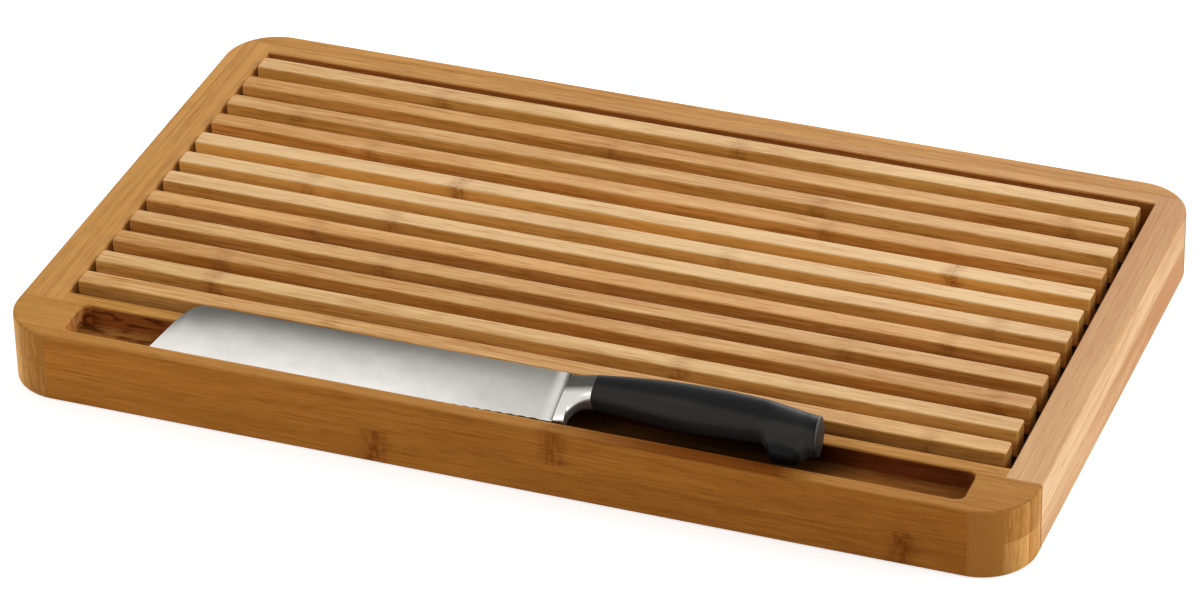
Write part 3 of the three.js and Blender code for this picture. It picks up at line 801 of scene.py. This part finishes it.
class StageLooks(bpy.types.PropertyGroup):
    ambient: FloatProperty(name="Ambient", description="Strength of the light from all round",
                           default=0.38, min=0)
    window_power: FloatProperty(name="Window lamp", description="Power of the lamp behind",
                                unit="POWER", default=27, min=0)
    key_power: FloatProperty(name="Key lamp", description="Power of the lamp on the right",
                             unit="POWER", default=12, min=0)
    fill_power: FloatProperty(name="Fill lamp", description="Power of the lamp over the front",
                              unit="POWER", default=6, min=0)


# ---- operators


class BOARD_OT_rails(bpy.types.Operator):
    """Dress the tray's rails, divider, liner and floor in laminated bamboo"""
    bl_idname = "board.rails"
    bl_label = "Rails and floor"

    def execute(self, context):
        looks = context.scene.board_wood
        rail = {"strip_width": looks.strip_width, "face_light": tuple(looks.rail_light),
                "face_deep": tuple(looks.rail_deep)}
        pale_sides = {"side_light": linear(206, 150, 84), "side_deep": linear(166, 108, 52)}
        dress("front_rail", bamboo(
            "Front rail bamboo", marked_and_shaded=True, gloss=0.03, **rail,
            strip_start=-FRONT_STRIP_START, seed=3.0,
            side_light=linear(216, 145, 63), side_deep=linear(150, 89, 30),
            end_tone=linear(244, 188, 112), end_contrast=1.3, strip_contrast=0.3,
            broad_contrast=0.7, fibre_contrast=0.75, lower_tone=-0.03, side_tone=0.1,
            along_tone=-0.85, knots_upper=(0.026, NO_KNOT, 0.31),
            knots_lower=(-0.053, 0.175, NO_KNOT), knot_reach=0.0095, joint_lines=0.3))
        dress("recess_divider", bamboo(
            "Divider bamboo", marked_and_shaded=True, gloss=0.03, **rail,
            strip_start=-FRONT_STRIP_START, seed=9.0,
            side_light=linear(186, 124, 64), side_deep=linear(140, 86, 38),
            fibre_contrast=1.5, along_tone=-0.4,
            knots_upper=(-0.12, 0.14, NO_KNOT), knot_strength=0.35))
        dress("back_rail", bamboo(
            "Back rail bamboo", gloss=0.07, **rail, **pale_sides,
            strip_start=FRONT_STRIP_START, seed=14.0,
            end_tone=linear(226, 176, 108), fibre_contrast=1.2,
            knots_upper=(0.1, -0.15, NO_KNOT), knot_strength=0.4))
        dress("back_liner", bamboo(
            "Liner bamboo", **rail, strip_start=FRONT_STRIP_START, seed=14.0,
            side_light=linear(170, 110, 56), side_deep=linear(130, 78, 34), fibre_contrast=1.5))
        dress("left_rail", bamboo(
            "Left rail bamboo", turned=True, gloss=0.08, **rail, **pale_sides,
            strip_start=-SIDE_STRIP_START, seed=21.0,
            strip_contrast=0.9, fibre_contrast=1.1, upper_tone=0.12,
            knots_upper=(-0.06, NO_KNOT, NO_KNOT), knot_strength=0.4))
        # the right rail's sides are paler than its top, partly painted light from the right
        dress("right_rail", bamboo(
            "Right rail bamboo", turned=True, gloss=0.06, strip_width=looks.strip_width,
            strip_start=SIDE_STRIP_START, seed=33.0,
            face_light=linear(224, 176, 127), face_deep=linear(191, 138, 91),
            side_light=linear(249, 211, 165), side_deep=linear(194, 134, 82),
            strip_contrast=0.9, broad_contrast=1.1, fibre_contrast=0.9,
            upper_tone=0.2, lower_tone=-0.65, side_tone=0.1, along_tone=2.2))
        # the floor's near-black colours are painted shade, for the deep dark well under the grid
        light, deep = linear(60, 40, 25), linear(36, 25, 17)
        dress("crumb_floor", bamboo(
            "Floor bamboo", strip_width=20 * MM, strip_start=-100 * MM, layer_height=ONE_LAYER,
            seed=40.0, face_light=light, face_deep=deep, side_light=light, side_deep=deep))
        return {"FINISHED"}


class BOARD_OT_grid(bpy.types.Operator):
    """Dress the slats and battens, each slat in a bamboo of its own"""
    bl_idname = "board.grid"
    bl_label = "Slatted grid"

    # Slats from the front: tone and redness of the top, tone and redness of the sides, depth of the
    # knots and their two places along X
    SLATS = (
        (0.12, 1.0, -0.20, 0.5, 0.55, -0.090, 0.174),
        (0.22, 0.5, 0.12, 0.3, 0.75, -0.151, 0.06),
        (-0.08, 0.8, -0.28, 0.6, 0.55, -0.154, 0.19),
        (0.06, 0.7, -0.22, 0.5, 0.45, -0.085, 0.12),
        (0.18, 1.2, -0.12, 0.6, 0.55, -0.125, 0.16),
        (0.42, 0.2, 0.05, 0.1, 0.55, -0.097, 0.173),
        (0.38, 0.0, 0.38, 0.1, 0.45, -0.143, 0.05),
        (0.44, 0.0, 0.45, 0.0, 0.95, -0.080, 0.145),
        (0.08, 1.0, 0.00, 0.4, 0.55, -0.128, 0.083),
        (0.04, 0.6, 0.05, 0.1, 0.45, -0.171, 0.073),
        (0.00, 1.1, 0.00, 0.5, 0.55, -0.029, 0.18),
        (0.15, 0.3, 0.10, 0.0, 0.60, -0.115, 0.025),
    )
    # Light and deep colours of the sides without and with redness, and what a red top is tinted by
    OLIVE_SIDES = np.array((linear(246, 194, 108), linear(190, 134, 54)))
    RED_SIDES = np.array((linear(236, 170, 100), linear(176, 110, 50)))
    RED_TOP = np.array((0.96, 0.85, 0.68, 1.0))
    BATTENS = 3

    def execute(self, context):
        looks = context.scene.board_wood
        for i, (tone, top_red, side_tone, side_red, knot, *places) in enumerate(self.SLATS):
            reddened = 1 + (self.RED_TOP - 1) * top_red
            sides = self.OLIVE_SIDES + (self.RED_SIDES - self.OLIVE_SIDES) * side_red
            # each slat's sides get painted shade low down, where the gaps between slats are dark
            dress(f"slat_{i + 1:02d}", bamboo(
                f"Slat {i + 1} bamboo", strip_width=SLAT_PITCH, layer_height=ONE_LAYER,
                strip_start=GRID_FRONT + i * SLAT_PITCH - (SLAT_PITCH - SLAT_WIDTH) / 2,
                seed=50.0 + 5 * i,
                face_light=tuple(np.array(looks.slat_light) * reddened),
                face_deep=tuple(np.array(looks.slat_deep) * reddened),
                side_light=tuple(sides[0]), side_deep=tuple(sides[1]),
                end_tone=linear(180, 136, 76), end_contrast=0.3, end_start=0.8,
                strip_contrast=0.0, fibre_contrast=1.25, lower_tone=tone,
                side_tone=side_tone - tone, knots_lower=(*places, NO_KNOT), knot_strength=knot,
                joint_lines=0.0, grime_amount=0.3))
        for i in range(self.BATTENS):
            dress(f"batten_{i + 1}", bamboo(
                f"Batten {i + 1} bamboo", turned=True, **ONE_STRIP, seed=80.0 + i, end_amount=0.0,
                face_light=linear(190, 136, 80), face_deep=linear(150, 98, 50),
                side_light=linear(170, 116, 64), side_deep=linear(130, 82, 40)))
        return {"FINISHED"}


class BOARD_OT_dowels(bpy.types.Operator):
    """Dress the hidden dowels in bare beech"""
    bl_idname = "board.dowels"
    bl_label = "Dowels"

    def execute(self, context):
        light, deep = linear(214, 178, 132), linear(186, 146, 100)
        beech = bamboo("Beech", turned=True, **ONE_STRIP, seed=90.0, end_amount=0.0,
                       joint_lines=0.0, face_light=light, face_deep=deep, side_light=light,
                       side_deep=deep)
        for side in ("left", "right"):
            for level in ("lower", "upper"):
                dress(f"dowel_{side}_{level}", beech)
        return {"FINISHED"}


class BOARD_OT_blade(bpy.types.Operator):
    """Make the bread knife's blade with its tang"""
    bl_idname = "board.blade"
    bl_label = "Blade"

    def execute(self, context):
        # painted reflection: the blade's greys darken from the cutting edge up to the spine
        stops = ((0.0, (240, 237, 232)), (0.35, (218, 214, 208)), (0.6, (188, 184, 178)),
                 (0.83, (134, 131, 125)), (1.0, (86, 85, 80)))
        metal = steel("Satin blade steel", stops, context.scene.board_knife.blade_roughness,
                      scratch=0.12, smudge=0.3, blade=True)
        ring_mesh("bread_knife_blade", blade_rings(), metal, "knife_blade", sharp=40)
        return {"FINISHED"}


class BOARD_OT_bolster(bpy.types.Operator):
    """Make the polished bolster between blade and grip"""
    bl_idname = "board.bolster"
    bl_label = "Bolster"

    def execute(self, context):
        # painted reflection: bright below and dark above, as on polished steel mirroring a horizon
        stops = ((0.0, (222, 219, 214)), (0.5, (210, 207, 202)), (0.62, (84, 81, 76)),
                 (1.0, (52, 50, 46)))
        metal = steel("Polished bolster steel", stops, 0.36, scratch=0.05)
        ring_mesh("bread_knife_bolster", bolster_rings(), metal,
                  "knife_bolster", through=True)
        return {"FINISHED"}


class BOARD_OT_grip(bpy.types.Operator):
    """Make the moulded grip with its hooked end"""
    bl_idname = "board.grip"
    bl_label = "Grip"

    def execute(self, context):
        looks = context.scene.board_knife
        black = polymer("Grip polymer", tuple(looks.grip_tone), tuple(looks.lit_band_tone),
                        looks.grip_roughness)
        ring_mesh("bread_knife_grip", grip_rings(), black, "knife_grip",
                  through=True)
        return {"FINISHED"}


class BOARD_OT_butt_cap(bpy.types.Operator):
    """Make the cap on the grip's end"""
    bl_idname = "board.butt_cap"
    bl_label = "Butt cap"

    def execute(self, context):
        # painted reflection: the cap's greys grow lighter towards the top
        stops = ((0.0, (50, 50, 49)), (0.4, (62, 62, 60)), (0.75, (80, 80, 78)),
                 (1.0, (104, 104, 101)))
        metal = steel("Butt cap steel", stops, 0.5)
        ring_mesh("bread_knife_butt_cap", cap_rings(), metal, "knife_butt_cap")
        return {"FINISHED"}


class BOARD_OT_stage(bpy.types.Operator):
    """Make the floor, the lamps, the world and the camera"""
    bl_idname = "board.stage"
    bl_label = "Stage"

    def lamp(self, name, power, place, width):
        data = bpy.data.lights.new(name, "AREA")
        data.energy = power
        data.shape = "DISK"
        data.size = width
        lamp = bpy.data.objects.new(name, data)
        bpy.context.scene.collection.objects.link(lamp)
        lamp.location = place
        lamp.rotation_euler = (-lamp.location).to_track_quat("-Z", "Y").to_euler()

    def sees_white(self, w):
        """1 for camera, glossy and transmission rays, which find the background white, else 0."""
        path = w.node("ShaderNodeLightPath").outputs
        bent = w.math("MAXIMUM", path["Is Glossy Ray"], path["Is Transmission Ray"])
        return w.math("MAXIMUM", path["Is Camera Ray"], bent)

    def world(self, scene, ambient):
        world = bpy.data.worlds.new("Studio")
        world.use_nodes = True
        scene.world = world
        w = Wiring(world.node_tree)
        w.fill(world.node_tree.nodes["Background"], Color=(1, 1, 1, 1),
               Strength=w.add(ambient, self.sees_white(w), 1.0 - ambient))

    def floor(self):
        mesh = bpy.data.meshes.new("studio_floor")
        corners = [(x * FLOOR_REACH, y * FLOOR_REACH, -FLOOR_DROP)
                   for x, y in ((-1, -1), (1, -1), (1, 1), (-1, 1))]
        mesh.from_pydata(corners, [], [(0, 1, 2, 3)])
        material = bpy.data.materials.new("Studio floor")
        material.use_nodes = True
        tree = material.node_tree
        w = Wiring(tree)
        tree.nodes.remove(tree.nodes["Principled BSDF"])
        diffuse = w.fill(w.node("ShaderNodeBsdfDiffuse"),
                         Color=(FLOOR_TONE, FLOOR_TONE, FLOOR_TONE, 1))
        glow = w.fill(w.node("ShaderNodeEmission"),
                      Strength=w.times(self.sees_white(w), FLOOR_GLOW))
        total = w.node("ShaderNodeAddShader")
        w.feed(total.inputs[0], diffuse.outputs[0])
        w.feed(total.inputs[1], glow.outputs[0])
        w.fill(tree.nodes["Material Output"], Surface=total.outputs[0])
        mesh.materials.append(material)
        floor = bpy.data.objects.new("studio_floor", mesh)
        bpy.context.scene.collection.objects.link(floor)

    def camera(self, scene):
        ahead = np.array((math.sin(CAMERA_YAW), math.cos(CAMERA_YAW), 0))
        level = np.array((math.cos(CAMERA_YAW), -math.sin(CAMERA_YAW), 0))
        forward = ahead * math.cos(CAMERA_PITCH) - np.array((0, 0, math.sin(CAMERA_PITCH)))
        upright = np.cross(level, forward)
        right = math.cos(CAMERA_ROLL) * level + math.sin(CAMERA_ROLL) * upright
        up = -math.sin(CAMERA_ROLL) * level + math.cos(CAMERA_ROLL) * upright
        data = bpy.data.cameras.new("Camera")
        data.lens = CAMERA_LENS
        data.sensor_fit = "HORIZONTAL"
        data.sensor_width = 36
        data.clip_end = 50
        camera = bpy.data.objects.new("Camera", data)
        scene.collection.objects.link(camera)
        rows = np.eye(4)
        rows[:3] = np.column_stack((right, up, -forward, CAMERA_PLACE))
        camera.matrix_world = Matrix(rows.tolist())
        scene.camera = camera

    def execute(self, context):
        scene = context.scene
        looks = scene.board_stage
        self.lamp("Window", looks.window_power, place=(-0.1, 2.0, 1.1), width=1.0)
        self.lamp("Key", looks.key_power, place=(1.5, 0.35, 0.8), width=1.1)
        self.lamp("Fill", looks.fill_power, place=(-1.2, -1.1, 1.0), width=1.0)
        self.world(scene, looks.ambient)
        self.floor()
        self.camera(scene)
        scene.view_settings.view_transform = "Standard"
        return {"FINISHED"}


PIECE_OPERATORS = (BOARD_OT_stage, BOARD_OT_rails, BOARD_OT_grid, BOARD_OT_dowels, BOARD_OT_blade,
                   BOARD_OT_bolster, BOARD_OT_grip, BOARD_OT_butt_cap)


class BOARD_PT_panel(bpy.types.Panel):
    """Lists the board's pieces and their looks"""
    bl_idname = "BOARD_PT_panel"
    bl_label = "Bread board"
    bl_space_type = "VIEW_3D"
    bl_region_type = "UI"
    bl_category = "Bread board"

    def draw(self, context):
        scene = context.scene
        for operator in PIECE_OPERATORS:
            self.layout.operator(operator.bl_idname)
        for group in (scene.board_wood, scene.board_knife, scene.board_stage):
            for name in group.__annotations__:
                self.layout.prop(group, name)


CLASSES = (WoodLooks, KnifeLooks, StageLooks) + PIECE_OPERATORS + (BOARD_PT_panel,)


def register():
    for cls in CLASSES:
        bpy.utils.register_class(cls)
    bpy.types.Scene.board_wood = PointerProperty(type=WoodLooks)
    bpy.types.Scene.board_knife = PointerProperty(type=KnifeLooks)
    bpy.types.Scene.board_stage = PointerProperty(type=StageLooks)


def unregister():
    del bpy.types.Scene.board_stage
    del bpy.types.Scene.board_knife
    del bpy.types.Scene.board_wood
    for cls in reversed(CLASSES):
        bpy.utils.unregister_class(cls)


def main():
    register()
    bpy.ops.board.stage()
    bpy.ops.board.rails()
    bpy.ops.board.grid()
    bpy.ops.board.dowels()
    bpy.ops.board.blade()
    bpy.ops.board.bolster()
    bpy.ops.board.grip()
    bpy.ops.board.butt_cap()


if __name__ == "__main__":
    main()
